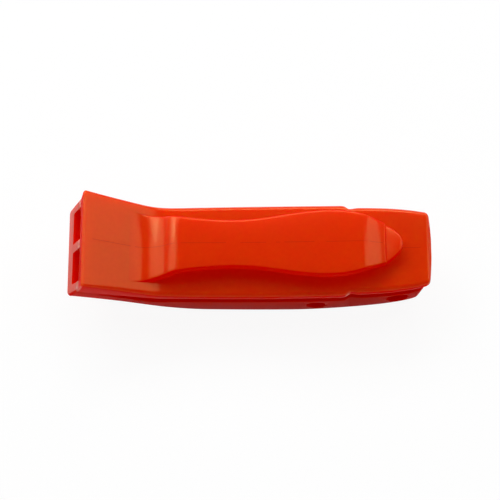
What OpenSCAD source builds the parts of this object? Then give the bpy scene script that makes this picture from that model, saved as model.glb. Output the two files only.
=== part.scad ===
// Flat safety whistle with two tone chambers, an upturned mouthpiece and a moulded belt clip.
// A lid that carries the clip is welded on a tray that holds both chambers.
// X runs from the mouth to the tail, Y across, Z up. The flat of the belly rests on z = 0.

/* [Body] */
// Length from the lip of the mouthpiece to the tail end
body_len = 68; // [66:0.5:71]
// Greatest width of the lid
body_w = 18.6; // [17.8:0.2:20.4]
// Height of the straight part of the body, from the belly to the lid
body_h = 10.3; // [9.8:0.1:11]
// Distance from the lip to the place where the body is widest
widest_at = 39; // [34:0.5:44]
// Radius of the slight bow of both long sides, seen from above
side_bow_r = 900; // [600:50:2000]
// Distance from the lip to the flat of the belly
belly_at = 26; // [25:0.5:28]
// Length of the flat of the belly
belly_flat = 14; // [12:0.5:18]
// Radius on which the belly climbs towards the tail
belly_tail_r = 140; // [110:5:200]
// Radius on which the top climbs towards the tail
top_arch_r = 640; // [500:20:1200]
// Rounding where the belly turns up into the tail's end
belly_end_r = 2.2; // [1.6:0.1:3]
// Draft of the tray's side walls, in degrees
wall_draft = 6.5; // [4:0.5:8]
// Rounding along the edges of the belly
belly_edge_r = 1; // [0.6:0.1:1.4]
// Thickness of the tray's side walls
wall_t = 1.5; // [1.2:0.1:1.8]
// Thickness of the tray's floor
floor_t = 1.3; // [1:0.1:1.5]

/* [Mouthpiece] */
// Distance from the lip to the place where the top starts to bend up
bend_at = 19.2; // [18.4:0.1:19.8]
// Angle by which the top of the mouthpiece bends up, in degrees
bend_angle = 26; // [22:0.5:28]
// Angle of the mouthpiece's underside, in degrees
under_angle = 23.5; // [20:0.5:25]
// Bend radius of the top
bend_r = 11; // [9:0.5:14]
// Bend radius of the underside
under_r = 23; // [20:0.5:28]
// How much wider the lid is on each side at the lip than behind the mouthpiece
mouth_flare = 0.65; // [0.3:0.05:0.9]
// Length over which the mouthpiece flares
flare_len = 13; // [9:0.5:16]
// Height of each mouth opening
mouth_open_h = 2.9; // [2.6:0.1:3]
// Thickness of the side walls at the mouth openings
mouth_wall_t = 2; // [1.7:0.1:2.2]
// Thickness of the lid over the mouth openings
roof_t = 3.2; // [3:0.1:3.3]
// Depth of the lid's skirt at the lip, which holds the sides of the mouth openings
skirt_t = 4.4; // [4.2:0.1:4.5]
// Length over which the skirt thins out to the plain lid
skirt_run = 19; // [17:0.5:19.5]
// Angle by which the end face leans forward from square to the mouthpiece, in degrees
face_tilt = 4; // [2:0.5:5]
// Depth of the hollow of the end face along the upper edge of the mouth openings
face_hollow = 0.5; // [0.3:0.1:0.6]
// Length behind the end face over which the sections lose that hollow
hollow_run = 4; // [3:0.5:5]
// Plan rounding of the end face's corners
mouth_corner_r = 0.5; // [0.3:0.1:0.6]
// Bevel along the front edge of the lid
lip_bevel = 0.35; // [0.2:0.05:0.4]
// Thickness of the wall between the two channels
divider_t = 2.05; // [1.6:0.05:2.6]

/* [Lid and seam] */
// Thickness of the lid behind the mouthpiece
lid_t = 2.2; // [2:0.1:2.5]
// Rounding of the lid's upper edge
lid_edge_r = 1; // [0.6:0.1:1.2]
// Rounding of the lid's lower edge
rim_edge_r = 0.3; // [0.2:0.05:0.4]
// Rounding of the lid's upper edge at the lip
mouth_edge_r = 0.5; // [0.4:0.1:0.8]
// Height of the reveal groove under the lid
groove_h = 1.7; // [1.2:0.1:2]
// Depth of the reveal groove
groove_d = 0.7; // [0.4:0.05:0.8]
// Distance from the lip's end of the lid to the place where the groove starts
groove_at = 1.5; // [0.5:0.5:3]
// Length over which the groove grows to its full size
groove_run = 11; // [8:0.5:13]
// Thickness of the weld line between lid and tray
weld_t = 0.02; // [0.01:0.01:0.04]

/* [Tail] */
// Length of the narrower tail part of the lid
tail_len = 15.7; // [14:0.1:18]
// Step of each side of the lid where the tail part begins
tail_step = 0.45; // [0.3:0.05:0.7]
// Length over which that step runs
step_run = 1.2; // [0.8:0.1:2]
// Length over which the belly's edges draw in by the same step
belly_step_run = 20; // [12:1:24]
// Width of the lid at the tail end
tail_end_w = 14.4; // [13.4:0.2:15.4]
// Plan rounding of the lid's tail corners
tail_corner_r = 0.8; // [0.6:0.1:1.2]
// Bow of the lid's tail end, seen from above
tail_bow = 0.3; // [0.15:0.05:0.5]
// Lean of the tail end, in degrees, by which the lid overhangs the tray
tail_lean = 8; // [5:1:12]
// Length over which the tail takes up that lean
lean_run = 9; // [7:0.5:12]
// Distance that the tray's end stays back from the lid's end
tray_setback = 0.6; // [0.4:0.1:1.2]
// Plan rounding of the tray's tail corners
tray_corner_r = 1.4; // [1.2:0.1:2]

/* [Sound channels] */
// Distance from the lip to the front edge of the sound windows
window_at = 21.5; // [20.5:0.5:23]
// Length of each sound window
window_len = 4.2; // [3.4:0.1:4.6]
// Width of each sound window
window_w = 4.6; // [4:0.1:4.8]
// Height of the slit where the air leaves the windway
slit_h = 1.2; // [0.9:0.05:1.5]
// Length of the sloping labium behind each window
labium_len = 5; // [4:0.5:6]
// Thickness of the labium's edge
labium_edge = 0.35; // [0.3:0.05:0.5]
// Distance from the lip to the end of the left, longer chamber
left_chamber_end = 53.5; // [52:0.5:54.5]
// Distance from the lip to the end of the right, shorter chamber
right_chamber_end = 50; // [49.5:0.5:52]
// Distance of the windway blocks' noses from the lid's front edge
block_nose_at = 3; // [2:0.5:5]
// Thickness of a windway block at its nose
block_nose_t = 0.4; // [0.3:0.1:0.6]
// Clearance around a windway block in its channel
block_fit = 0.06; // [0.04:0.01:0.1]

/* [Side holes] */
// Diameter of the lanyard hole across the tail
lanyard_d = 4.3; // [3.6:0.1:4.6]
// Distance of the lanyard hole's axis from the tail end
lanyard_from_tail = 6.1; // [5.9:0.1:6.6]
// Height of the lanyard hole's axis above the belly
lanyard_z = 5.1; // [4.9:0.1:5.3]
// Diameter of the round port in each side wall
port_d = 3.8; // [3:0.1:4]
// Distance of the side ports' axis from the lip
port_at = 46.6; // [46:0.1:47]
// Height of the side ports' axis above the belly
port_z = 3.8; // [3.7:0.1:4]

/* [Clip] */
// Length of the clip from its root to its tip
clip_len = 50.6; // [49:0.1:51.4]
// Distance from the lip to the clip's root
clip_root_at = 11.6; // [11.4:0.1:12.1]
// Distance from the clip's root to the face where its flexing arm starts
clip_joint_at = 5.8; // [5.6:0.1:6.1]
// Distance from the clip's root to its waist
clip_waist_at = 19.8; // [17:0.1:22]
// Distance from the clip's root to its belly
clip_belly_at = 37.2; // [34:0.1:39]
// Length of the upturned tip
clip_tip_len = 2.9; // [2.6:0.1:3.4]
// Step by which the tip's upper face lies lower than the crease
clip_tip_step = 0.65; // [0.4:0.05:0.7]
// Height of the clip's outer face above the lid
clip_rise = 3.85; // [3.6:0.05:4.6]
// Thickness of the clip
clip_t = 1.7; // [1.5:0.05:1.8]
// Rounding of the clip's long edges
clip_edge_r = 0.5; // [0.3:0.05:0.6]
// Width of the clip at its root
clip_root_w = 15.2; // [13.6:0.2:16]
// Width of the clip at its waist
clip_waist_w = 9.5; // [8.4:0.1:11]
// Width of the clip at its belly
clip_belly_w = 12.7; // [11.4:0.1:14]
// Width of the clip at the crease before its tip
clip_neck_w = 7.5; // [7.3:0.1:8.4]
// Width of the upturned tip at the crease
clip_tip_w = 7.1; // [6.4:0.1:7.3]
// Gap between the flexing arm and its root, which lets the arm turn
clip_joint_gap = 0.06; // [0.04:0.01:0.1]

/* [Hidden] */

LID_COLOR = "#e8400c";
CLIP_COLOR = "#f0521a";
BLOCK_COLOR = "#c23008";

// Overrun of cuts beyond the faces that they open
over = 1;
// Run over which a slope is measured
slope_run = 0.02;
// Smallest rounding, where an edge fades out
fine_r = 0.02;
// Depth below the plain lid at which the channels' roof meets the windows
roof_over = 0.1;

// Steps along and around the lofted forms
MOUTH_STEPS = 5;
BEND_STEPS = 13;
BODY_STEPS = 16;
STEP_STEPS = 5;
TAIL_STEPS = 7;
CORNER_STEPS = 4;
CHAMBER_STEPS = 8;
ROOT_STEPS = 12;
RISE_STEPS = 12;
ARM_STEPS = 18;
DROP_STEPS = 12;
TIP_STEPS = 8;
ARC_STEPS = 6;
SMALL_ARC_STEPS = 2;
CLIP_ARC_STEPS = 4;
SOLVE_STEPS = 14;
HOLE_FACETS = 64;

// Shares of the clip's length and rise that its outer face passes through, from the root to the crease
clip_line_shares = [
    [0, -0.02], [0.02, 0.013], [0.031, 0.036], [0.042, 0.075], [0.053, 0.133], [0.064, 0.207],
    [0.075, 0.287], [0.097, 0.452], [0.119, 0.619], [0.13, 0.75], [0.141, 0.88], [0.152, 0.953],
    [0.163, 0.985], [0.18, 1], [0.85, 1], [0.868, 0.968], [0.89, 0.86], [0.912, 0.751],
    [0.927, 0.717], [0.937, 0.707]
];
// Share of the belly's edge rounding that is left at the lip
lip_round_share = 0.6;
// Share of the rise at the tip's end
clip_tip_share = 0.87;
// Power with which the tip narrows from the crease
tip_power = 1.1;
// Share of the clip's length over which its arm straightens out behind the root
clip_shoulder_share = 0.18;
// Share of the clip's length at which it starts to bend down
clip_drop_share = 0.84;
// Power with which the flare grows towards the lip
flare_power = 1.5;
// Power with which the tail narrows towards its end
taper_power = 3;
// Shares of the tail end's half width at which its bowed end is stepped
bow_shares = [0.85, 0.65, 0.4];
// Share of the corner radius by which the lid's end rounds over
end_round_share = 0.85;
// Angle to which the corners' arcs run, short of a right angle so that no face is edge-on
corner_angle = 80;

// General functions
function blend(a, b, f) = a + (b - a) * f;
function unit(f) = max(0, min(1, f));
function smooth(f) = unit(f) * unit(f) * (3 - 2 * unit(f));
function sq(v) = v * v;
function corner_w(x, end, r) = r - sqrt(sq(r) - sq(max(0, min(r, x - (end - r)))));
function reverse(v) = [for (i = [len(v) - 1:-1:0]) v[i]];

// Places along the body
lip_x = -body_len / 2;
tail_x = body_len / 2;
belly_x = lip_x + belly_at;
belly_end_x = belly_x + belly_flat;
bend_x = lip_x + bend_at;
step_x = tail_x - tail_len;
window_x = lip_x + window_at;
labium_x = window_x + window_len;
root_x = lip_x + clip_root_at;
widest_x = lip_x + widest_at;
tray_end_x = tail_x - tray_setback;
tail_foot_x = tray_end_x - body_h * sin(tail_lean) / 2;

// Height of the underside: flat belly, an arc and a slope to the lip, a slow arc and a rounding to the tail
function under_arc_z(run) = run < under_r * sin(under_angle)
    ? under_r - sqrt(sq(under_r) - sq(run))
    : under_r * (1 - cos(under_angle)) + (run - under_r * sin(under_angle)) * tan(under_angle);
function under_z(x) = x < belly_x
    ? under_arc_z(belly_x - x)
    : sq(max(0, x - belly_end_x)) / (2 * belly_tail_r) + corner_w(x, tail_foot_x, belly_end_r);

// Height of the lid's top behind the bend
function top_z(x) = body_h + sq(max(0, x - bend_x)) / (2 * top_arch_r);

// The top bend ends here, and the straight mouthpiece runs on from it to its end face.
// The end face stands square to the mouthpiece's top and passes through the lip.
bend_end = [bend_x - bend_r * sin(bend_angle), body_h + bend_r * (1 - cos(bend_angle))];
lip_z = under_z(lip_x);
mouth_len = (bend_end[0] - lip_x) * cos(bend_angle) - (bend_end[1] - lip_z) * sin(bend_angle);
mouth_x = bend_end[0] - mouth_len * cos(bend_angle);

// A station is [x, z, lean]: a point of the top line and the angle at which its section leans
function mouth_station(run, lean = bend_angle) = [
    bend_end[0] - run * cos(bend_angle),
    bend_end[1] + run * sin(bend_angle),
    lean
];
function bend_station(a) = [bend_x - bend_r * sin(a), body_h + bend_r * (1 - cos(a)), a];
function lean_at(x) = tail_lean * sq(unit((x - (tail_x - lean_run)) / lean_run));
function body_station(x) = [x, top_z(x), lean_at(x)];

// Depth of the body at a station, measured along its leaning section
function depth_at(s, depth = body_h, step = 0) = step < SOLVE_STEPS
    ? depth_at(s, (s[1] - under_z(s[0] - depth * sin(s[2]))) / cos(s[2]), step + 1)
    : depth;

// The end face leans forward about the lip, so its top is further out than the straight mouthpiece
face_len = mouth_len + depth_at(mouth_station(mouth_len)) * tan(face_tilt);
function face_station(back) = mouth_station(face_len - back, bend_angle - face_tilt);
front_x = face_station(0)[0];
corner_run = mouth_corner_r * sin(corner_angle);
function from_front(s) = (s[0] - front_x) / cos(bend_angle);
function mouth_round(s) = corner_w(corner_run - from_front(s), mouth_corner_r, mouth_corner_r);

// Half width of the lid with a side step of the given length
function bow_w(x) = body_w / 2 - side_bow_r + sqrt(sq(side_bow_r) - sq(max(x, bend_x) - widest_x));
function flare_w(x) = mouth_flare * pow(unit((mouth_x + flare_len - x) / flare_len), flare_power);
function tail_taper(x) = (bow_w(tail_x) - tail_step - tail_end_w / 2)
    * pow(unit((x - step_x) / (tail_x - step_x)), taper_power);
function half_w(x, run) = bow_w(x) + flare_w(x) - tail_taper(x)
    - tail_step * smooth((x - step_x) / run + 0.5);
// The lid's end is round and leans, so the top line runs on until the outermost edge is at the tail end
end_drop = end_round_share * tail_corner_r * (1 - cos(corner_angle));
lid_end_x = tail_x + end_drop * sin(tail_lean) + tail_bow * sq(bow_shares[len(bow_shares) - 1]);
lid_corner_x = lid_end_x - tail_bow;
function lid_side_w(x) = half_w(x, step_run) - corner_w(x, lid_corner_x, tail_corner_r);
function lid_w(x) = x > lid_corner_x
    ? lid_side_w(lid_corner_x - tail_corner_r * (1 - sin(corner_angle))) * sqrt((lid_end_x - x) / tail_bow)
    : lid_side_w(x);

// The lid's skirt thins out behind the lip, while the roof over the channels grows to the plain lid
function windway_share(s) = unit((s[0] - mouth_x) / (window_x - mouth_x));
function roof_depth(s) = blend(roof_t, lid_t + roof_over, windway_share(s));
function lid_depth(s) = blend(skirt_t, lid_t, smooth((s[0] - mouth_x) / skirt_run));
function groove_growth(s) = smooth((s[0] - mouth_x - groove_at) / groove_run);
function lid_bevel(s) = lip_bevel * (1 - unit(from_front(s) / corner_run));
function lid_round(s) = blend(mouth_edge_r, lid_edge_r, windway_share(s));
function rim_round(s) = max(fine_r, rim_edge_r * groove_growth(s));
function end_round(s) = min(end_drop, end_round_share * corner_w(s[0], lid_corner_x, tail_corner_r));

// Half widths of the tray's side at a station and a depth, and where the groove cuts into it
function tray_w(s, run) = half_w(s[0], run) - corner_w(s[0], tray_end_x, tray_corner_r);
function side_w(s, d) = tray_w(s, step_run) - d * tan(wall_draft);
function neck_w(s, d) = side_w(s, d) - groove_d * groove_growth(s);
function ledge_depth(s) = lid_depth(s) + groove_h * groove_growth(s) + fine_r;
function belly_w(s) = tray_w(s, belly_step_run) - depth_at(s) * tan(wall_draft);
function wall_w(s, d) = blend(side_w(s, ledge_depth(s)), belly_w(s),
    (d - ledge_depth(s)) / (depth_at(s) - ledge_depth(s)));

// Outlines are lists of [y, depth] and placed points are [x, y, z]
function arc(y, d, r, from, steps) = [
    for (i = [0:steps]) [y + r * sin(from + 90 * i / steps), d - r * cos(from + 90 * i / steps)]
];
function both_sides(half) = concat(half, [for (p = reverse(half)) [-p[0], p[1]]]);
function hollow_share(s, d) = d < roof_t ? d / roof_t : unit((depth_at(s) - d) / (depth_at(s) - roof_t));
function hollow_at(s, d) = from_front(s) < hollow_run
    ? face_hollow * (1 - unit(from_front(s) / hollow_run)) * hollow_share(s, d)
    : 0;
function place(s, p) = [s[0] - p[1] * sin(s[2]) + hollow_at(s, p[1]), p[0], s[1] - p[1] * cos(s[2])];
function ring(s, outline) = [for (p = outline) place(s, p)];

function lid_outline(s) = let (
    w = lid_w(s[0]) - mouth_round(s), h = lid_depth(s), low = w - h * tan(wall_draft), r = lid_round(s),
    drop = max(lid_bevel(s), end_round(s)), r2 = rim_round(s), mid = h * roof_t / skirt_t
) both_sides(concat(
    [for (p = arc(w - r, r, r, 0, ARC_STEPS)) [p[0], drop + p[1] * (1 - drop / (r + lip_bevel))]],
    [[w - mid * tan(wall_draft), mid]],
    arc(low - r2, h - r2, r2, 90, SMALL_ARC_STEPS)
));

function tray_outline(s) = let (
    t = depth_at(s), top = lid_depth(s) + weld_t, ledge = ledge_depth(s) + weld_t,
    in = mouth_round(s), w = side_w(s, ledge) - in, r2 = rim_round(s),
    r = belly_edge_r * blend(lip_round_share, 1, windway_share(s))
) both_sides(concat(
    [[neck_w(s, top) - in, top], [neck_w(s, ledge) - in, ledge]],
    arc(w - r2, ledge + r2, r2, 0, SMALL_ARC_STEPS),
    arc(belly_w(s) - in - r, t - r, r, 90, ARC_STEPS)
));

// A closed skin over rings that all have the same number of points. Its first end can be folded
// on the line between a point of the ring and the point that mirrors it.
module loft(rings, fold = 0) {
    n = len(rings[0]);
    last = len(rings) - 1;
    mirrored = n - 1 - fold;
    polyhedron(
        points = [for (r = rings) each r],
        faces = concat(
            [[for (i = [mirrored:-1:fold]) i]],
            fold > 0 ? [concat([for (i = [fold:-1:0]) i], [for (i = [n - 1:-1:mirrored]) i])] : [],
            [for (k = [0:last - 1]) for (i = [0:n - 1]) [k * n + i, k * n + (i + 1) % n, (k + 1) * n + i]],
            [for (k = [0:last - 1]) for (i = [0:n - 1])
                [k * n + (i + 1) % n, (k + 1) * n + (i + 1) % n, (k + 1) * n + i]],
            [[for (i = [0:n - 1]) last * n + i]]
        )
    );
}

// Stations of the whole body, which lid and tray share up to the tail
front_stations = concat(
    [for (i = [CORNER_STEPS:-1:0])
        face_station(corner_run - mouth_corner_r * sin(corner_angle * i / CORNER_STEPS))],
    [for (i = [1:MOUTH_STEPS - 1]) mouth_station(mouth_len * (1 - i / MOUTH_STEPS))],
    [for (i = [0:BEND_STEPS - 1]) bend_station(bend_angle * (1 - i / BEND_STEPS))]
);
step_start = step_x - step_run / 2;
step_end = step_x + step_run / 2;
body_stations = concat(
    [for (i = [0:BODY_STEPS - 1]) body_station(blend(bend_x, step_start, i / BODY_STEPS))],
    [for (i = [0:STEP_STEPS - 1]) body_station(blend(step_start, step_end, i / STEP_STEPS))]
);
function tail_stations(end) = [
    for (i = [0:TAIL_STEPS - 1]) body_station(blend(step_end, end, i / TAIL_STEPS))
];
function corner_stations(end, r) = [
    for (i = [0:CORNER_STEPS]) body_station(end - r * (1 - sin(corner_angle * i / CORNER_STEPS)))
];

lid_stations = concat(
    front_stations,
    body_stations,
    tail_stations(lid_corner_x - tail_corner_r),
    corner_stations(lid_corner_x, tail_corner_r),
    [for (share = bow_shares) body_station(lid_end_x - tail_bow * sq(share))]
);
tray_stations = concat(
    front_stations,
    body_stations,
    tail_stations(tray_end_x - tray_corner_r),
    corner_stations(tray_end_x, tray_corner_r)
);

// Depth of the windway's floor and of the block that roofs it, from the lip to the window
function channel_floor(s) = blend(roof_t + mouth_open_h, depth_at(s) - floor_t, windway_share(s));
nose_x = mouth_x + block_nose_at * cos(bend_angle);
function block_share(s) = unit((s[0] - nose_x) / (window_x - nose_x));
function block_depth(s) = blend(
    roof_depth(s) + block_nose_t, depth_at(s) - floor_t - slit_h, block_share(s)
);

// One channel's section, between the divider and the side wall
function channel_wall_t(s) = blend(mouth_wall_t, wall_t, windway_share(s));
function channel_outline(s, from, to, fit) = [
    [divider_t / 2 + fit, from],
    [wall_w(s, from) - channel_wall_t(s) - fit, from],
    [wall_w(s, to) - channel_wall_t(s) - fit, to],
    [divider_t / 2 + fit, to]
];
entry_station = mouth_station(face_len + over);
windway_stations = concat(
    front_stations,
    [body_station(bend_x), body_station(blend(bend_x, window_x, 0.5)), body_station(window_x)]
);
function chamber_stations(end) = [
    for (i = [1:CHAMBER_STEPS]) body_station(blend(window_x, end, i / CHAMBER_STEPS))
];
module channel(end) {
    loft([for (s = concat([entry_station], windway_stations, chamber_stations(end)))
        ring(s, channel_outline(s, lid_depth(s) - over, channel_floor(s), 0))]);
}
module skirt_channel() {
    loft([for (s = concat([entry_station], windway_stations))
        ring(s, channel_outline(s, roof_depth(s), lid_depth(s) + over, 0))]);
}
block_stations = concat(
    [mouth_station(mouth_len - block_nose_at)],
    [for (s = windway_stations) if (s[0] > nose_x + slope_run) s]
);
module windway_block() {
    color(BLOCK_COLOR)
        loft([for (s = block_stations)
            ring(s, channel_outline(s, roof_depth(s) + block_fit, block_depth(s), block_fit))]);
}

// Sound window and labium: a slot through the floor, then a ramp that thins the floor to an edge
window_y = (divider_t / 2 + wall_w(body_station(window_x), depth_at(body_station(window_x))) - wall_t) / 2;
module window_cut() {
    translate([window_x, window_y - window_w / 2, -over])
        cube([window_len, window_w, over + under_z(window_x) + floor_t + slit_h]);
    translate([0, window_y + window_w / 2, 0])
        rotate([90, 0, 0])
            linear_extrude(window_w)
                polygon([
                    [labium_x - slope_run, -over],
                    [labium_x - slope_run, floor_t - labium_edge],
                    [labium_x, floor_t - labium_edge],
                    [labium_x + labium_len, 0],
                    [labium_x + labium_len, -over]
                ]);
}

module port_cut() {
    translate([lip_x + port_at, body_w / 2 + over, port_z])
        rotate([90, 0, 0])
            cylinder(h = body_w / 2 + over - divider_t / 2 - wall_t, d = port_d, $fn = HOLE_FACETS);
}

module lanyard_cut() {
    translate([tail_x - lanyard_from_tail, body_w / 2 + over, lanyard_z])
        rotate([90, 0, 0])
            cylinder(h = body_w + 2 * over, d = lanyard_d, $fn = HOLE_FACETS);
}

// Clip: a ribbon whose outer face keeps its rise above the lid between root and tip
crease_run = clip_len - clip_tip_len;
function surface_z(x) = x < bend_end[0]
    ? bend_end[1] + (bend_end[0] - x) * tan(bend_angle)
    : x < bend_x ? body_h + bend_r - sqrt(sq(bend_r) - sq(bend_x - x)) : top_z(x);

// Monotone cubic through the shares: flat where the line turns, the harmonic mean of its slopes elsewhere
line_last = len(clip_line_shares) - 1;
function line_slope(i) = (clip_line_shares[i + 1][1] - clip_line_shares[i][1])
    / (clip_line_shares[i + 1][0] - clip_line_shares[i][0]);
function knot_slope(i) = i == 0 || i == line_last
    ? 0
    : line_slope(i - 1) * line_slope(i) <= 0
        ? 0
        : 2 * line_slope(i - 1) * line_slope(i) / (line_slope(i - 1) + line_slope(i));
function line_index(f, i = 0) = i >= line_last - 1 || f < clip_line_shares[i + 1][0]
    ? i
    : line_index(f, i + 1);
function rise_share(f) = let (
    i = line_index(f), a = clip_line_shares[i], b = clip_line_shares[i + 1],
    w = b[0] - a[0], u = (f - a[0]) / w
) a[1] * (1 + 2 * u) * sq(1 - u) + knot_slope(i) * w * u * sq(1 - u)
    + b[1] * sq(u) * (3 - 2 * u) + knot_slope(i + 1) * w * sq(u) * (u - 1);
crease_share = clip_line_shares[line_last][1];
function clip_rise_at(run) = clip_rise * (run < crease_run
    ? rise_share(run / crease_run * clip_line_shares[line_last][0])
    : blend(crease_share, clip_tip_share, (run - crease_run) / clip_tip_len));
function clip_z(run) = surface_z(root_x + run) + clip_rise_at(run);
function clip_lean(run) = atan2(clip_z(run - slope_run) - clip_z(run), slope_run);
function clip_station(run) = [root_x + run, clip_z(run), clip_lean(run)];

function clip_half_w(run) = run < clip_waist_at
    ? blend(clip_waist_w, clip_root_w, sq(1 - run / clip_waist_at)) / 2
    : run < clip_belly_at
        ? belly_w_at((run - clip_waist_at) / (clip_belly_at - clip_waist_at))
        : run < crease_run
            ? drop_w((run - clip_belly_at) / (crease_run - clip_belly_at))
            : clip_tip_w / 2 * sqrt(1 - pow((run - crease_run) / clip_tip_len, tip_power));
function belly_w_at(f) = blend(clip_waist_w, clip_belly_w, smooth(f)) / 2;
function drop_w(f) = blend(clip_belly_w, clip_neck_w, (smooth(f) + f) / 2) / 2;

function clip_outline(run) = let (
    w = clip_half_w(run), top = run > crease_run ? clip_tip_step : 0, r = min(clip_edge_r, w / 2)
) both_sides(concat(
    arc(w - r, top + r, r, 0, CLIP_ARC_STEPS),
    arc(w - r, clip_t - r, r, 90, CLIP_ARC_STEPS)
));
function clip_ring(run) = ring(clip_station(run), clip_outline(run));
function runs(from, to, steps) = [for (i = [0:steps - 1]) blend(from, to, i / steps)];

shoulder_run = clip_len * clip_shoulder_share;
drop_run = clip_len * clip_drop_share;
root_runs = concat(runs(0, clip_joint_at, ROOT_STEPS), [clip_joint_at]);
arm_runs = concat(
    runs(clip_joint_at + clip_joint_gap, shoulder_run, RISE_STEPS),
    runs(shoulder_run, drop_run, ARM_STEPS),
    runs(drop_run, crease_run, DROP_STEPS),
    [for (i = [0:TIP_STEPS])
        crease_run + slope_run + (clip_tip_len - slope_run) * sin(corner_angle * i / TIP_STEPS)]
);

module clip_root() {
    loft([for (run = root_runs) clip_ring(run)]);
}

module upper_shell() {
    color(LID_COLOR)
        difference() {
            union() {
                loft([for (s = lid_stations) ring(s, lid_outline(s))], ARC_STEPS + 1);
                clip_root();
            }
            for (side = [0, 1])
                mirror([0, side, 0])
                    skirt_channel();
        }
}

module lower_shell() {
    color(LID_COLOR)
        difference() {
            loft([for (s = tray_stations) ring(s, tray_outline(s))]);
            channel(lip_x + left_chamber_end);
            mirror([0, 1, 0])
                channel(lip_x + right_chamber_end);
            for (side = [0, 1])
                mirror([0, side, 0]) {
                    window_cut();
                    port_cut();
                }
            lanyard_cut();
        }
}

module spring_clip() {
    color(CLIP_COLOR)
        loft([for (run = arm_runs) clip_ring(run)]);
}

module left_windway_block() {
    windway_block();
}

module right_windway_block() {
    mirror([0, 1, 0])
        windway_block();
}

upper_shell();
lower_shell();
spring_clip();
left_windway_block();
right_windway_block();
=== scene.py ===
import math

import bmesh
import bpy
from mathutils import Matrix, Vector


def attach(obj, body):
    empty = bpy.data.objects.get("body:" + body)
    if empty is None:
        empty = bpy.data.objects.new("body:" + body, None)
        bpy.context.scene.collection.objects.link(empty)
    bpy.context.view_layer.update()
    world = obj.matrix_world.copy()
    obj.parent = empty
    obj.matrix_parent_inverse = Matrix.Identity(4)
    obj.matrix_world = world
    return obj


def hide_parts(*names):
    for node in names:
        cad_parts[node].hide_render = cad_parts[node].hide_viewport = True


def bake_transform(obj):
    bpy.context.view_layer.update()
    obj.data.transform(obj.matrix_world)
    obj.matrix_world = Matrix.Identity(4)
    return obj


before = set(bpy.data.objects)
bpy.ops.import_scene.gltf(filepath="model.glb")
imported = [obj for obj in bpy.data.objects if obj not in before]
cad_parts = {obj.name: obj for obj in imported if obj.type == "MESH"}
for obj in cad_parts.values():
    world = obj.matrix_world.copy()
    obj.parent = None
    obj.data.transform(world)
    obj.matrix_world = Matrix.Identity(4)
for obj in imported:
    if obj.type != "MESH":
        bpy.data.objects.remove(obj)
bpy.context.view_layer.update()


# Camera
# The photograph is taken from the near side, steeply from above, with a long lens.
# It looks along +Y, so the mouthpiece is at the left of the picture. Distances here are in metres,
# the lens and its sensor in mm.
VIEW_ELEVATION = math.radians(67)
VIEW_DISTANCE = 0.426
VIEW_TARGET = Vector((0.0001, 0.00017, 0.0103))
LENS_LEN = 163.5
SENSOR_W = 36
NEAREST_SEEN = 0.01

camera = bpy.data.objects.new("camera", bpy.data.cameras.new("camera"))
camera.data.lens = LENS_LEN
camera.data.sensor_width = SENSOR_W
camera.data.clip_start = NEAREST_SEEN
camera.location = VIEW_TARGET + VIEW_DISTANCE * Vector(
    (0, -math.cos(VIEW_ELEVATION), math.sin(VIEW_ELEVATION)))
camera.rotation_euler = (math.pi / 2 - VIEW_ELEVATION, 0, 0)
bpy.context.scene.collection.objects.link(camera)
bpy.context.scene.camera = camera


# Tray
# The lower moulding, in translucent orange-red plastic: side walls with draft, two tone chambers,
# their windows and labia on the belly, a port in each side wall and the lanyard hole. It is welded
# to the lid along the groove. Lengths from here on are in mm, and MM turns them into metres.
MM = 0.001
BODY_W = 18.6
BODY_H = 10.3
LIP_X = -34.0
TAIL_X = 34.0
TAIL_LEAN = math.radians(8)
TRAY_SETBACK = 0.6
TRAY_END_X = TAIL_X - TRAY_SETBACK
TAIL_FOOT_X = TRAY_END_X - BODY_H * math.sin(TAIL_LEAN) / 2


def unit(f):
    return max(0.0, min(1.0, f))


def smooth(f):
    f = unit(f)
    return f * f * (3 - 2 * f)


def mix(a, b, f):
    return a + (b - a) * f


def steps(a, b, n):
    """The first n of n + 1 even steps from a to b."""
    return [mix(a, b, i / n) for i in range(n)]


def corner_w(x, end, r):
    """How far a round plan corner has drawn in at x."""
    run = max(0.0, min(r, x - (end - r)))
    return r - math.sqrt(r * r - run * run)


# The underside has a flat belly, an arc and a slope to the lip, and a slow arc to the tail.
BELLY_X = (-8.0, 6.0)
BELLY_TAIL_R = 140.0
BELLY_END_R = 2.2
UNDER_ANGLE = math.radians(23.5)
UNDER_R = 23.0


def under_z(x):
    if x < BELLY_X[0]:
        run, arc_run = BELLY_X[0] - x, UNDER_R * math.sin(UNDER_ANGLE)
        if run < arc_run:
            return UNDER_R - math.sqrt(UNDER_R ** 2 - run ** 2)
        return UNDER_R * (1 - math.cos(UNDER_ANGLE)) + (run - arc_run) * math.tan(UNDER_ANGLE)
    return max(0.0, x - BELLY_X[1]) ** 2 / (2 * BELLY_TAIL_R) + corner_w(x, TAIL_FOOT_X, BELLY_END_R)


# The upper line is straight at the mouthpiece, bends, and arches slowly to the tail. The sections of
# the housing stand along it at stations: x, z and lean.
BEND_X = -14.8
BEND_ANGLE = math.radians(26)
BEND_R = 11.0
TOP_ARCH_R = 640.0
LEAN_RUN = 9.0
FACE_TILT = math.radians(4)
DEPTH_PASSES = 20


def top_z(x):
    return BODY_H + max(0.0, x - BEND_X) ** 2 / (2 * TOP_ARCH_R)


def depth_at(s):
    """Depth of the body at a station, measured along its leaning section."""
    depth = BODY_H
    for _ in range(DEPTH_PASSES):
        depth = (s[1] - under_z(s[0] - depth * math.sin(s[2]))) / math.cos(s[2])
    return depth


BEND_END = (BEND_X - BEND_R * math.sin(BEND_ANGLE), BODY_H + BEND_R * (1 - math.cos(BEND_ANGLE)))
MOUTH_LEN = ((BEND_END[0] - LIP_X) * math.cos(BEND_ANGLE)
             - (BEND_END[1] - under_z(LIP_X)) * math.sin(BEND_ANGLE))
MOUTH_X = BEND_END[0] - MOUTH_LEN * math.cos(BEND_ANGLE)


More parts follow.
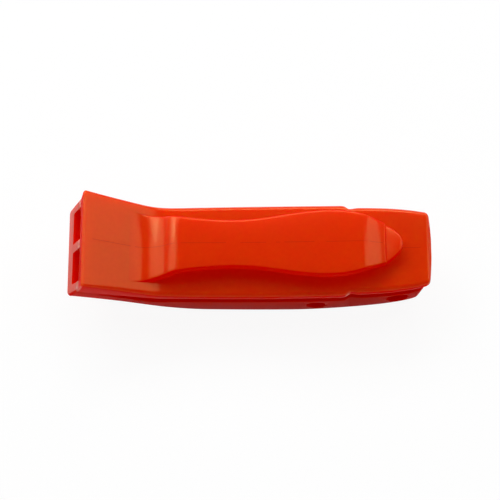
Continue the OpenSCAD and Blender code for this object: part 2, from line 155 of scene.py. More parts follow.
def mouth_station(run, lean=BEND_ANGLE):
    return (BEND_END[0] - run * math.cos(BEND_ANGLE), BEND_END[1] + run * math.sin(BEND_ANGLE), lean)


def bend_station(a):
    return (BEND_X - BEND_R * math.sin(a), BODY_H + BEND_R * (1 - math.cos(a)), a)


def body_station(x):
    return (x, top_z(x), TAIL_LEAN * unit((x - (TAIL_X - LEAN_RUN)) / LEAN_RUN) ** 2)


FACE_LEN = MOUTH_LEN + depth_at(mouth_station(MOUTH_LEN)) * math.tan(FACE_TILT)


def face_station(back):
    return mouth_station(FACE_LEN - back, BEND_ANGLE - FACE_TILT)


# The sides bow a little, flare at the lip, step in before the tail and taper to its end. The step is
# short at the lid's rim, where it also dips, and long at the belly.
WIDEST_X = 5.0
SIDE_BOW_R = 900.0
MOUTH_FLARE = 0.65
FLARE_LEN = 13.0
FLARE_POWER = 1.5
STEP_X = 18.3
STEP_RUN = 1.2
STEP_DIP = 0.2
DIP_RUN = 1.7
RIM_STEP = (STEP_RUN, STEP_DIP)
BELLY_STEP = (20.0, 0.0)
TAIL_STEP = 0.45
TAIL_END_W = 14.4
TAPER_POWER = 3
MOUTH_CORNER_R = 0.5
CORNER_ANGLE = math.radians(80)
CORNER_RUN = MOUTH_CORNER_R * math.sin(CORNER_ANGLE)
FRONT_X = face_station(0)[0]


def bow_w(x):
    return BODY_W / 2 - SIDE_BOW_R + math.sqrt(SIDE_BOW_R ** 2 - (max(x, BEND_X) - WIDEST_X) ** 2)


def half_w(x, step):
    """Half width of the housing, with a side step of the given run and dip."""
    run, dip = step
    flare = MOUTH_FLARE * unit((MOUTH_X + FLARE_LEN - x) / FLARE_LEN) ** FLARE_POWER
    taper = ((bow_w(TAIL_X) - TAIL_STEP - TAIL_END_W / 2)
             * unit((x - STEP_X) / (TAIL_X - STEP_X)) ** TAPER_POWER)
    dipped = dip * smooth(1 - abs(x - STEP_X - run / 2) / DIP_RUN)
    return bow_w(x) + flare - taper - dipped - TAIL_STEP * smooth((x - STEP_X) / run + 0.5)


def from_front(s):
    return (s[0] - FRONT_X) / math.cos(BEND_ANGLE)


def mouth_round(s):
    return corner_w(CORNER_RUN - from_front(s), MOUTH_CORNER_R, MOUTH_CORNER_R)


# The lid's side is deep at the lip and thin behind it. Under its rim the groove grows from nothing,
# down to the tray's ledge, and below the ledge the walls draw in to the belly.
WINDOW_X = -12.5
LID_T = 2.2
SKIRT_T = 4.4
SKIRT_RUN = 19.0
GROOVE_H = 1.7
GROOVE_D = 0.7
GROOVE_AT = 1.5
GROOVE_RUN = 11.0
RIM_EDGE_R = 0.3
LEAST_STEP = 0.02
DRAFT = math.tan(math.radians(6.5))
TRAY_CORNER_R = 1.4


def windway_share(s):
    return unit((s[0] - MOUTH_X) / (WINDOW_X - MOUTH_X))


def lid_depth(s):
    return mix(SKIRT_T, LID_T, smooth((s[0] - MOUTH_X) / SKIRT_RUN))


def groove_growth(s):
    return smooth((s[0] - MOUTH_X - GROOVE_AT) / GROOVE_RUN)


def rim_round(s):
    return max(LEAST_STEP, RIM_EDGE_R * groove_growth(s))


def ledge_depth(s):
    return lid_depth(s) + GROOVE_H * groove_growth(s) + LEAST_STEP


def tray_w(s, step):
    return half_w(s[0], step) - corner_w(s[0], TRAY_END_X, TRAY_CORNER_R)


def side_w(s, d):
    return tray_w(s, RIM_STEP) - d * DRAFT


def belly_w(s):
    return tray_w(s, BELLY_STEP) - depth_at(s) * DRAFT


def wall_w(s, d):
    ledge, full = ledge_depth(s), depth_at(s)
    return mix(side_w(s, ledge), belly_w(s), (d - ledge) / (full - ledge))


# Rings of points at the stations. The end face is hollowed along the upper edge of its openings, and
# the hollow runs out behind it.
ROOF_T = 3.2
FACE_HOLLOW = 0.5
HOLLOW_RUN = 4.0
SAME_POINT = 0.0001
SHARP_ANGLE = 32


def arc(y, d, r, start, n):
    """Points of a quarter round in a section, as (half width, depth)."""
    turns = [math.radians(start + 90 * i / n) for i in range(n + 1)]
    return [(y + r * math.sin(t), d - r * math.cos(t)) for t in turns]


def both_sides(half):
    return half + [(-y, d) for y, d in reversed(half)]


def hollow_at(s, d):
    share = d / ROOF_T if d < ROOF_T else unit((depth_at(s) - d) / (depth_at(s) - ROOF_T))
    return FACE_HOLLOW * (1 - unit(from_front(s) / HOLLOW_RUN)) * share


def ring(s, outline):
    hollowed = from_front(s) < HOLLOW_RUN
    return [(s[0] - d * math.sin(s[2]) + (hollow_at(s, d) if hollowed else 0), y, s[1] - d * math.cos(s[2]))
            for y, d in outline]


def skin(name, rings, fold=0):
    """A closed mesh over rings in mm that all have the same number of points. Its first end can be
    folded on the line between a point of the ring and the point that mirrors it."""
    bm = bmesh.new()
    rows = [[bm.verts.new([c * MM for c in p]) for p in r] for r in rings]
    n = len(rows[0])
    for a, b in zip(rows, rows[1:]):
        for i in range(n):
            j = (i + 1) % n
            bm.faces.new((a[i], a[j], b[j], b[i]))
    first, mirrored = rows[0], n - 1 - fold
    bm.faces.new(reversed(first[fold:mirrored + 1]))
    if fold:
        bm.faces.new(first[fold::-1] + first[:mirrored - 1:-1])
    bm.faces.new(rows[-1])
    bmesh.ops.remove_doubles(bm, verts=bm.verts, dist=SAME_POINT * MM)
    bmesh.ops.recalc_face_normals(bm, faces=bm.faces)
    mesh = bpy.data.meshes.new(name)
    bm.to_mesh(mesh)
    bm.free()
    made = bpy.data.objects.new(name, mesh)
    bpy.context.scene.collection.objects.link(made)
    return made


def settle(piece, sharp_angle=SHARP_ANGLE):
    """Turns a piece's modifiers into plain mesh and shades it smooth between its sharp edges."""
    graph = bpy.context.evaluated_depsgraph_get()
    mesh = bpy.data.meshes.new_from_object(piece.evaluated_get(graph))
    piece.modifiers.clear()
    piece.data = mesh
    mesh.shade_smooth()
    mesh.set_sharp_from_angle(angle=math.radians(sharp_angle))


def cut(piece, cutters):
    """Takes the cutters out of the piece."""
    for cutter in cutters:
        step = piece.modifiers.new("cut", "BOOLEAN")
        step.operation = "DIFFERENCE"
        step.solver = "EXACT"
        step.object = cutter
    settle(piece)
    for cutter in cutters:
        bpy.data.objects.remove(cutter)


# Stations stand close together at the corners and at the side step.
CORNER_STEPS = 8
MOUTH_STEPS = 18
BEND_STEPS = 24
BODY_STEPS = 60
STEP_STEPS = 24
TAIL_STEPS = 30
BEHIND_CORNER = 0.8
END_TURNS = range(0, 86, 8)

front_stations = (
    [face_station(CORNER_RUN - MOUTH_CORNER_R * math.sin(CORNER_ANGLE * a))
     for a in steps(1, 0, CORNER_STEPS) + [0]]
    + [mouth_station(run) for run in steps(MOUTH_LEN - BEHIND_CORNER, 0, MOUTH_STEPS)]
    + [bend_station(a) for a in steps(BEND_ANGLE, 0, BEND_STEPS)]
)
body_stations = [body_station(x) for x in steps(BEND_X, STEP_X - STEP_RUN, BODY_STEPS)
                 + steps(STEP_X - STEP_RUN, STEP_X + STEP_RUN, STEP_STEPS)]


def tail_stations(end, r):
    return [body_station(x) for x in steps(STEP_X + STEP_RUN, end - r, TAIL_STEPS)
            + [end - r * (1 - math.sin(math.radians(a))) for a in END_TURNS]]


# The tray's own section: its top under the lid, the side of the groove, the ledge and the belly.
WELD_T = 0.02
BELLY_EDGE_R = 1.0
LIP_ROUND_SHARE = 0.6
RIM_ARC_STEPS = 5
BELLY_ARC_STEPS = 8


def tray_outline(s):
    top, ledge, full = lid_depth(s) + WELD_T, ledge_depth(s) + WELD_T, depth_at(s)
    r, edge_r = rim_round(s), BELLY_EDGE_R * mix(LIP_ROUND_SHARE, 1, windway_share(s))
    corner = mouth_round(s)
    inset, w = GROOVE_D * groove_growth(s) + corner, side_w(s, ledge) - corner
    return both_sides([(side_w(s, top) - inset, top), (side_w(s, ledge) - inset, ledge)]
                      + arc(w - r, ledge + r, r, 0, RIM_ARC_STEPS)
                      + arc(belly_w(s) - corner - edge_r, full - edge_r, edge_r, 90, BELLY_ARC_STEPS))


# Each channel runs from its mouth opening to the end of its tone chamber, beside the divider.
MOUTH_OPEN_H = 2.9
MOUTH_WALL_T = 2.0
WALL_T = 1.5
FLOOR_T = 1.3
DIVIDER_T = 2.05
CHANNEL_CORNER_R = 0.3
CHANNEL_TURNS = [math.radians(a) for a in (0, 30, 60, 90)]
CHAMBER_ENDS = (19.5, 16.0)
CHAMBER_STEPS = 20
WINDWAY_STEPS = 6
CUT_PAST = 1
ENTRY_EDGE = 0.2
ENTRY_REST = 0.05


def channel_outline(s, top, bottom, grow=0.0):
    """One channel's section between divider and side wall, with slightly round corners."""
    wall_t, r = mix(MOUTH_WALL_T, WALL_T, windway_share(s)), CHANNEL_CORNER_R
    y0, y1 = DIVIDER_T / 2 - grow, wall_w(s, bottom) - wall_t + grow
    y2, low = wall_w(s, top) - wall_t + grow, bottom + grow - r
    return ([(y0, top), (y2, top)]
            + [(y1 - r + r * math.sin(t), low + r * math.cos(t)) for t in reversed(CHANNEL_TURNS)]
            + [(y0 + r - r * math.sin(t), low + r * math.cos(t)) for t in CHANNEL_TURNS])


def channel_floor(s):
    return mix(ROOF_T + MOUTH_OPEN_H, depth_at(s) - FLOOR_T, windway_share(s))


def mirrored(points, side):
    return [(x, side * y, z) for x, y, z in points]


def channel(side, top_of, floor_of, chamber_end=None):
    """The air channel of one side, from in front of the mouth to the window or a chamber's end."""
    row = [(mouth_station(FACE_LEN + CUT_PAST), ENTRY_EDGE), (face_station(0), ENTRY_EDGE),
           (face_station(ENTRY_EDGE), ENTRY_REST)]
    row += [(s, 0.0) for s in front_stations[CORNER_STEPS:]]
    row += [(body_station(x), 0.0) for x in steps(BEND_X, WINDOW_X, WINDWAY_STEPS) + [WINDOW_X]]
    if chamber_end:
        row += [(body_station(mix(WINDOW_X, chamber_end, (i + 1) / CHAMBER_STEPS)), 0.0)
                for i in range(CHAMBER_STEPS)]
    return skin("channel", [mirrored(ring(s, channel_outline(s, top_of(s, grow), floor_of(s), grow)), side)
                            for s, grow in row])


# Each window opens the windway's end to the belly, and the labium behind it slopes to a blunt edge.
WINDOW_LEN = 4.2
WINDOW_W = 4.6
SLIT_H = 1.2
LABIUM_LEN = 5.0
LABIUM_EDGE = 0.35


def window_cutter(side):
    s = body_station(WINDOW_X)
    middle = (DIVIDER_T / 2 + wall_w(s, depth_at(s)) - WALL_T) / 2
    high = under_z(WINDOW_X) + FLOOR_T + SLIT_H
    edge_x, foot_x = WINDOW_X + WINDOW_LEN, WINDOW_X + WINDOW_LEN + LABIUM_LEN
    side_line = [(WINDOW_X, -CUT_PAST), (WINDOW_X, high), (edge_x, high), (edge_x, FLOOR_T - LABIUM_EDGE),
                 (foot_x, 0), (foot_x, -CUT_PAST)]
    return skin("window", [[(x, side * y, z) for x, z in side_line]
                           for y in (middle - WINDOW_W / 2, middle + WINDOW_W / 2)])


# Round holes go out through the side walls: x, z and radius of each.
LANYARD = (27.9, 5.1, 2.15)
PORT = (12.6, 3.8, 1.9)
HOLE_EDGE = 0.2
HOLE_STEPS = 72


def outer_wall_y(x, z):
    s = body_station(x)
    return wall_w(s, (s[1] - z) / math.cos(s[2]))


def round_row(x, z, r, y_at):
    """A ring of a round cutter along Y; y_at gives its y at each of its points."""
    turns = [2 * math.pi * i / HOLE_STEPS for i in range(HOLE_STEPS)]
    points = [(x + r * math.cos(a), z + r * math.sin(a)) for a in turns]
    return [(px, y_at(px, pz), pz) for px, pz in points]


def rim_rows(x, z, r, side):
    """The last rings of a hole's cutter: a cone that breaks its edge all round, and a flat end."""
    wide = r + 3 * HOLE_EDGE
    return [round_row(x, z, r, lambda px, pz: side * (outer_wall_y(px, pz) - HOLE_EDGE)),
            round_row(x, z, wide, lambda px, pz: side * (outer_wall_y(px, pz) + 2 * HOLE_EDGE)),
            round_row(x, z, wide, lambda px, pz: side * BODY_W)]


tray = skin("tray", [ring(s, tray_outline(s)) for s in
                     front_stations + body_stations + tail_stations(TRAY_END_X, TRAY_CORNER_R)])
cutters = []
for side, chamber_end in zip((1, -1), CHAMBER_ENDS):
    cutters.append(channel(side, lambda s, grow: lid_depth(s) - CUT_PAST, channel_floor, chamber_end))
    cutters.append(window_cutter(side))
    inner_row = round_row(*PORT, lambda px, pz: side * DIVIDER_T)
    cutters.append(skin("port", [inner_row] + rim_rows(*PORT, side)))
cutters.append(skin("lanyard", rim_rows(*LANYARD, -1)[::-1] + rim_rows(*LANYARD, 1)))
cut(tray, cutters)


# The plastic's tone flows slowly and is finely mottled, and its skin is finely grained. Each of these
# is a noise, given here by its scale and its detail.
FLOW = (70, 3)
FLOW_RANGE = (0.1, 0.9)
FLOW_SHARES = (0.15, 0.85)
MOTTLE = (1300, 3)
MOTTLE_RANGE = (0.2, 0.8)
MOTTLE_SHARES = (-0.3, 0.3)
GRAIN = (2600, 2)
GLOSS_CHANGE = (-0.04, 0.04)


def plastic_group():
    """Moulded plastic: a slow change of tone with a fine mottle, and a finely grained skin."""
    group = bpy.data.node_groups.new("moulded plastic", "ShaderNodeTree")
    for name, kind in (("Tone", "NodeSocketColor"), ("Deep Tone", "NodeSocketColor"),
                       ("Roughness", "NodeSocketFloat")):
        group.interface.new_socket(name, in_out="INPUT", socket_type=kind)
    for name, kind in (("Color", "NodeSocketColor"), ("Roughness", "NodeSocketFloat"),
                       ("Height", "NodeSocketFloat")):
        group.interface.new_socket(name, in_out="OUTPUT", socket_type=kind)
    nodes, links = group.nodes, group.links
    given, out = nodes.new("NodeGroupInput"), nodes.new("NodeGroupOutput")
    place = nodes.new("ShaderNodeTexCoord")

    def noise(scale, detail):
        node = nodes.new("ShaderNodeTexNoise")
        node.inputs["Scale"].default_value = scale
        node.inputs["Detail"].default_value = detail
        links.new(place.outputs["Object"], node.inputs["Vector"])
        return node.outputs["Fac"]

    def remap(value, used, wanted):
        node = nodes.new("ShaderNodeMapRange")
        links.new(value, node.inputs["Value"])
        for name, v in zip(("From Min", "From Max", "To Min", "To Max"), used + wanted):
            node.inputs[name].default_value = v
        return node.outputs["Result"]

    def add(a, b):
        node = nodes.new("ShaderNodeMath")
        links.new(a, node.inputs[0])
        links.new(b, node.inputs[1])
        return node.outputs[0]

    flow, mottle = noise(*FLOW), remap(noise(*MOTTLE), MOTTLE_RANGE, MOTTLE_SHARES)
    tone = nodes.new("ShaderNodeMix")
    tone.data_type = "RGBA"
    depth, shallow, deep = tone.inputs[0], tone.inputs[6], tone.inputs[7]
    links.new(add(remap(flow, FLOW_RANGE, FLOW_SHARES), mottle), depth)
    links.new(given.outputs["Tone"], shallow)
    links.new(given.outputs["Deep Tone"], deep)
    links.new(tone.outputs[2], out.inputs["Color"])
    links.new(add(given.outputs["Roughness"], remap(flow, FLOW_RANGE, GLOSS_CHANGE)),
              out.inputs["Roughness"])
    links.new(noise(*GRAIN), out.inputs["Height"])
    return group


PLASTIC = plastic_group()
PLASTIC_IOR = 1.49
SHEEN_TINT = (1.0, 0.8, 0.3, 1)
SCATTER_RADIUS = (1.0, 0.06, 0.01)
SCATTER_DEPTH = 6 * MM
# The colour of the painted red glow, an emission that every plastic gives off though it is no lamp.
PAINTED_GLOW_RED = (1.0, 0.0, 0.0, 1)
GRAIN_DEPTH = 0.012 * MM
GRAIN_SHARE = 0.5


def plastic(name, tone, deep_tone, roughness, gloss, glow):
    """A translucent orange-red moulded plastic with its own tone and gloss, and a painted red glow: a
    constant red emission that lifts the red of its shaded places.
    """
    made = bpy.data.materials.new(name)
    made.use_nodes = True
    nodes, links = made.node_tree.nodes, made.node_tree.links
    shader = nodes["Principled BSDF"]
    group = nodes.new("ShaderNodeGroup")
    group.node_tree = PLASTIC
    bump = nodes.new("ShaderNodeBump")
    # The red emission is a painted glow: it lifts the red in shade and does not follow the lamps.
    for node, values in (
            (shader, {"IOR": PLASTIC_IOR, "Specular IOR Level": gloss, "Specular Tint": SHEEN_TINT,
                      "Subsurface Weight": 1.0, "Subsurface Radius": SCATTER_RADIUS,
                      "Subsurface Scale": SCATTER_DEPTH, "Emission Color": PAINTED_GLOW_RED,
                      "Emission Strength": glow}),
            (group, {"Tone": (*tone, 1), "Deep Tone": (*deep_tone, 1), "Roughness": roughness}),
            (bump, {"Distance": GRAIN_DEPTH, "Strength": GRAIN_SHARE})):
        for socket, value in values.items():
            node.inputs[socket].default_value = value
    links.new(group.outputs["Color"], shader.inputs["Base Color"])
    links.new(group.outputs["Roughness"], shader.inputs["Roughness"])
    links.new(group.outputs["Height"], bump.inputs["Height"])
    links.new(bump.outputs["Normal"], shader.inputs["Normal"])
    return made


FACING_FRONT = 0.85

# The tray's walls take a deeper red than its end face: painted shade, a shaded copy of the same plastic for
# walls turned away from the lamps.
tray.data.materials.append(plastic("tray shaded plastic", (0.66, 0.008, 0.0), (0.60, 0.005, 0.0),
                                   roughness=0.5, gloss=0.02, glow=0.06))
tray.data.materials.append(plastic("end face plastic", (0.66, 0.020, 0.0), (0.60, 0.015, 0.0),
                                   roughness=0.3, gloss=0.42, glow=0.08))
for face in tray.data.polygons:
    face.material_index = int(face.normal.x < -FACING_FRONT)
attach(tray, "whistle")
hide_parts("lower_shell")


# Windway blocks
# Two moulded inserts of the same plastic, set between the tray's walls under the lid. They roof the
# windways, so that each narrows to the slit at its window, and show only through the openings.
# The blocks take a deeper red and a red glow: painted shade and painted red light for the insides of the
# openings, where they are seen.
shaded_block_plastic = plastic("shaded block plastic", (0.72, 0.006, 0.0), (0.66, 0.004, 0.0),
                        roughness=0.34, gloss=0.3, glow=0.11)
for name in ("left_windway_block", "right_windway_block"):
    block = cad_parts[name]
    block.data.materials.clear()
    block.data.materials.append(shaded_block_plastic)


# Lid
# The upper moulding, welded on the tray's ledge: a plate of the same plastic that follows the bend,
# with a skirt round the mouth openings, a rounded rim over the groove and a step before the tail.
ROOF_LAP = 0.1
LIP_BEVEL = 0.46
LID_EDGE_R = 1.0
MOUTH_EDGE_R = 0.5
EDGE_ARC_STEPS = 10
TAIL_CORNER_R = 0.8
TAIL_BOW = 0.3
END_ROUND_SHARE = 0.85
END_DROP = END_ROUND_SHARE * TAIL_CORNER_R * (1 - math.cos(CORNER_ANGLE))
LAST_BOW_SHARE = 0.4
BOW_SHARES = (0.9, 0.8, 0.7, 0.6, 0.5, LAST_BOW_SHARE)
LID_END_X = TAIL_X + END_DROP * math.sin(TAIL_LEAN) + TAIL_BOW * LAST_BOW_SHARE ** 2
LID_CORNER_X = LID_END_X - TAIL_BOW
FACING_SIDE = 0.9


def lid_side_w(x):
    return half_w(x, RIM_STEP) - corner_w(x, LID_CORNER_X, TAIL_CORNER_R)


def lid_w(x):
    if x > LID_CORNER_X:
        side = lid_side_w(LID_CORNER_X - TAIL_CORNER_R * (1 - math.sin(CORNER_ANGLE)))
        return side * math.sqrt((LID_END_X - x) / TAIL_BOW)
    return lid_side_w(x)


def lid_outline(s):
    w, h, r2 = lid_w(s[0]) - mouth_round(s), lid_depth(s), rim_round(s)
    r, fold_depth = mix(MOUTH_EDGE_R, LID_EDGE_R, windway_share(s)), h * ROOF_T / SKIRT_T
    end_drop = min(END_DROP, END_ROUND_SHARE * corner_w(s[0], LID_CORNER_X, TAIL_CORNER_R))
    front_drop = LIP_BEVEL * (1 - unit(from_front(s) / CORNER_RUN))
    drop, low = max(front_drop, end_drop), w - h * DRAFT
    top = [(y, drop + d * (1 - drop / (r + LIP_BEVEL))) for y, d in arc(w - r, r, r, 0, EDGE_ARC_STEPS)]
    return both_sides(top + [(w - fold_depth * DRAFT, fold_depth)]
                      + arc(low - r2, h - r2, r2, 90, RIM_ARC_STEPS))


def roof_depth(s):
    return mix(ROOF_T, LID_T + ROOF_LAP, windway_share(s))


lid_rows = front_stations + body_stations + tail_stations(LID_CORNER_X, TAIL_CORNER_R)
lid_rows += [body_station(LID_END_X - TAIL_BOW * share ** 2) for share in BOW_SHARES]
lid = skin("lid", [ring(s, lid_outline(s)) for s in lid_rows], fold=EDGE_ARC_STEPS + 1)
cut(lid, [channel(side, lambda s, grow: roof_depth(s) - grow, lambda s: lid_depth(s) + CUT_PAST)
          for side in (1, -1)])
# The lid's sides and front face take a deeper red and a stronger red glow than its top: painted shade, a
# shaded copy of the lid's plastic chosen by which way a face looks.
shaded_side_plastic = plastic("lid shaded side plastic", (0.66, 0.008, 0.0), (0.60, 0.005, 0.0),
                       roughness=0.5, gloss=0.02, glow=0.15)
lid.data.materials.append(plastic("lid plastic", (0.71, 0.050, 0.0), (0.65, 0.040, 0.0),
                                  roughness=0.17, gloss=0.40, glow=0.14))
lid.data.materials.append(shaded_side_plastic)
for face in lid.data.polygons:
    face.material_index = int(abs(face.normal.y) > FACING_SIDE or face.normal.x < -FACING_SIDE)
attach(lid, "whistle")
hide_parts("upper_shell")


# Clip
# A springy tongue moulded in one with the lid: it rises from the bend, runs along the back with a waist
# and a belly, dips to a crease and ends in an upturned round tip. The real clip bends near its root when
# lifted; here it stands at rest.
CLIP_LEN = 50.6
ROOT_X = -22.4
TIP_LEN = 2.9
TIP_STEP = 0.65
TIP_SHARE = 0.87
TIP_POWER = 1.1
CREASE_R = 0.2
CREASE_RUN = CLIP_LEN - TIP_LEN
CLIP_RISE = 3.85
CLIP_T = 1.7
CLIP_EDGE_R = 0.5
CLIP_ARC_STEPS = 6
CLIP_SHARP_ANGLE = 40
CLIP_FACING_SIDE = 0.5


# How high the clip's upper face lies over the lid: shares of the run to the crease and of the rise.
RISE_SHARES = ((0, 0.0015), (0.02, 0.011), (0.031, 0.028), (0.042, 0.058), (0.053, 0.105), (0.064, 0.17),
               (0.075, 0.248), (0.086, 0.33), (0.097, 0.413), (0.108, 0.499), (0.119, 0.585), (0.13, 0.685),
               (0.141, 0.809), (0.152, 0.895), (0.1615, 0.94), (0.171, 0.975), (0.186, 1), (0.85, 1),
               (0.868, 0.968), (0.89, 0.86), (0.912, 0.751), (0.927, 0.717), (0.937, 0.707))
CREASE_SHARE = RISE_SHARES[-1][1]
SLOPE_RUN = 0.02


def surface_z(x):
    if x < BEND_END[0]:
        return BEND_END[1] + (BEND_END[0] - x) * math.tan(BEND_ANGLE)
    if x < BEND_X:
        return BODY_H + BEND_R - math.sqrt(BEND_R ** 2 - (BEND_X - x) ** 2)
    return top_z(x)


def line_slope(i):
    (fa, va), (fb, vb) = RISE_SHARES[i:i + 2]
    return (vb - va) / (fb - fa)


def knot_slope(i):
    if i in (0, len(RISE_SHARES) - 1) or line_slope(i - 1) * line_slope(i) <= 0:
        return 0.0
    return 2 * line_slope(i - 1) * line_slope(i) / (line_slope(i - 1) + line_slope(i))


def rise_share(f):
    """Monotone cubic through the clip's shares."""
    i = max(k for k in range(len(RISE_SHARES) - 1) if f >= RISE_SHARES[k][0] or k == 0)
    (fa, va), (fb, vb) = RISE_SHARES[i:i + 2]
    w = fb - fa
    u = (f - fa) / w
    return (va * (1 + 2 * u) * (1 - u) ** 2 + knot_slope(i) * w * u * (1 - u) ** 2
            + vb * u * u * (3 - 2 * u) + knot_slope(i + 1) * w * u * u * (u - 1))


def clip_z(run):
    if run < CREASE_RUN:
        share = rise_share(run / CREASE_RUN * RISE_SHARES[-1][0])
    else:
        share = mix(CREASE_SHARE, TIP_SHARE, (run - CREASE_RUN) / TIP_LEN)
    return surface_z(ROOT_X + run) + CLIP_RISE * share


def clip_station(run):
    return (ROOT_X + run, clip_z(run), math.atan2(clip_z(run - SLOPE_RUN) - clip_z(run), SLOPE_RUN))


# The clip narrows from its root to the waist, widens to the belly and narrows again to its neck.
ROOT_W = 15.2
WAIST_W = 9.5
WAIST_AT = 19.8
CLIP_BELLY_W = 13.2
CLIP_BELLY_AT = 37.2
NECK_W = 8.1
TIP_W = 7.6


def clip_half_w(run):
    if run < WAIST_AT:
        return mix(WAIST_W, ROOT_W, (1 - run / WAIST_AT) ** 2) / 2
    if run < CLIP_BELLY_AT:
        return mix(WAIST_W, CLIP_BELLY_W, smooth((run - WAIST_AT) / (CLIP_BELLY_AT - WAIST_AT))) / 2
    if run < CREASE_RUN:
        f = (run - CLIP_BELLY_AT) / (CREASE_RUN - CLIP_BELLY_AT)
        return mix(CLIP_BELLY_W, NECK_W, f * f) / 2
    return TIP_W / 2 * math.sqrt(max(0.0, 1 - ((run - CREASE_RUN) / TIP_LEN) ** TIP_POWER))


def clip_ring(run):
    end_drop = corner_w(run, CLIP_LEN, CLIP_EDGE_R)
    step = TIP_STEP if run > CREASE_RUN else corner_w(run, CREASE_RUN, CREASE_R)
    w, top, bottom = clip_half_w(run), step + end_drop, CLIP_T - end_drop
    r = min(CLIP_EDGE_R, w / 2, (bottom - top) / 2)
    return ring(clip_station(run), both_sides(arc(w - r, top + r, r, 0, CLIP_ARC_STEPS)
                                              + arc(w - r, bottom - r, r, 90, CLIP_ARC_STEPS)))


# Rings stand close together on the curves of the root and before the crease.
ROOT_END, ROOT_STEPS = 10, 90
BACK_END, BACK_STEPS = 39, 40
NECK_STEPS = 50
CREASE_TURNS = range(0, 91, 15)
TIP_TURNS = range(0, 83, 4)

clip_runs = steps(0, ROOT_END, ROOT_STEPS) + steps(ROOT_END, BACK_END, BACK_STEPS)
clip_runs += steps(BACK_END, CREASE_RUN - CREASE_R, NECK_STEPS)
clip_runs += [CREASE_RUN - CREASE_R * (1 - math.sin(math.radians(a))) for a in CREASE_TURNS]
clip_runs += [CREASE_RUN + LEAST_STEP + (TIP_LEN - LEAST_STEP) * math.sin(math.radians(a))
              for a in TIP_TURNS]
clip = skin("clip", [clip_ring(run) for run in clip_runs])
settle(clip, CLIP_SHARP_ANGLE)
clip.data.materials.append(plastic("clip plastic", (0.73, 0.043, 0.0), (0.67, 0.034, 0.0),
                                   roughness=0.17, gloss=0.42, glow=0.14))
# The clip's sides take the same painted shade as the lid's sides.
clip.data.materials.append(shaded_side_plastic)
for face in clip.data.polygons:
    face.material_index = int(abs(face.normal.y) > CLIP_FACING_SIDE)

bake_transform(clip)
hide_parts("spring_clip")


# Parting lines
# Where the halves of the mould met, a fine ridge of plastic is left along the middle of the lid and of
# the clip. It follows their upper surfaces and is worn down in places, so it shows only in stretches.
LINE_W = 0.1 * MM
LINE_H = 0.05 * MM
LINE_WORN = 0.03 * MM
WEAR_SCALE = 160
WEAR_RANGE = (0.25, 0.65)
LID_LINE_X = (-29.3, 32.4)
CLIP_LINE_FROM = 1
CLIP_LINE_STEPS = 150


def ridge_tree():
    """A ridge along a path, sunk into the surface here and there."""
    tree = bpy.data.node_groups.new("ridge along a path", "GeometryNodeTree")
    for name, kind in (("Path", "NodeSocketGeometry"), ("Width", "NodeSocketFloat"),
                       ("Height", "NodeSocketFloat"), ("Worn", "NodeSocketFloat"),
                       ("Plastic", "NodeSocketMaterial")):
        tree.interface.new_socket(name, in_out="INPUT", socket_type=kind)
    tree.interface.new_socket("Ridge", in_out="OUTPUT", socket_type="NodeSocketGeometry")
    nodes, links = tree.nodes, tree.links
    given, out = nodes.new("NodeGroupInput"), nodes.new("NodeGroupOutput")
    curve = nodes.new("GeometryNodeMeshToCurve")
    normal = nodes.new("GeometryNodeSetCurveNormal")
    normal.mode = "Z_UP"
    section = nodes.new("GeometryNodeCurvePrimitiveQuadrilateral")
    sweep = nodes.new("GeometryNodeCurveToMesh")
    sweep.inputs["Fill Caps"].default_value = True
    wear = nodes.new("ShaderNodeTexNoise")
    wear.inputs["Scale"].default_value = WEAR_SCALE
    level = nodes.new("ShaderNodeMapRange")
    level.inputs["From Min"].default_value, level.inputs["From Max"].default_value = WEAR_RANGE
    depth = nodes.new("ShaderNodeMath")
    depth.operation = "MULTIPLY"
    negative = nodes.new("ShaderNodeMath")
    negative.operation = "MULTIPLY"
    negative.inputs[1].default_value = -1
    down = nodes.new("ShaderNodeCombineXYZ")
    sink = nodes.new("GeometryNodeSetPosition")
    real = nodes.new("GeometryNodeRealizeInstances")
    coat = nodes.new("GeometryNodeSetMaterial")
    for source, target in (
            (given.outputs["Path"], curve.inputs[0]), (curve.outputs[0], sink.inputs["Geometry"]),
            (wear.outputs["Fac"], level.inputs["Value"]), (level.outputs["Result"], depth.inputs[0]),
            (given.outputs["Worn"], depth.inputs[1]), (depth.outputs[0], negative.inputs[0]),
            (negative.outputs[0], down.inputs["Z"]), (down.outputs[0], sink.inputs["Offset"]),
            (sink.outputs[0], normal.inputs["Curve"]), (normal.outputs[0], sweep.inputs["Curve"]),
            (given.outputs["Width"], section.inputs["Width"]),
            (given.outputs["Height"], section.inputs["Height"]),
            (section.outputs[0], sweep.inputs["Profile Curve"]), (sweep.outputs[0], real.inputs[0]),
            (real.outputs[0], coat.inputs["Geometry"]),
            (given.outputs["Plastic"], coat.inputs["Material"]), (coat.outputs[0], out.inputs[0])):
        links.new(source, target)
    return tree


RIDGE = ridge_tree()
# The ridge takes a darker tone than the plastic around it: painted shade along the fine line.
line_plastic = plastic("parting line plastic", (0.56, 0.020, 0.0), (0.48, 0.014, 0.0),
                       roughness=0.4, gloss=0.1, glow=0.14)


def ridge(name, path):
    """Sweeps the ridge along points in mm on a surface."""
    mesh = bpy.data.meshes.new(name)
    mesh.from_pydata([[c * MM for c in p] for p in path], [(i, i + 1) for i in range(len(path) - 1)], [])
    made = bpy.data.objects.new(name, mesh)
    bpy.context.scene.collection.objects.link(made)
    sweep = made.modifiers.new("ridge", "NODES")
    sweep.node_group = RIDGE
    values = {"Width": LINE_W, "Height": LINE_H, "Worn": LINE_WORN, "Plastic": line_plastic}
    for socket in RIDGE.interface.items_tree:
        if socket.name in values:
            sweep[socket.identifier] = values[socket.name]
    settle(made)
    return made


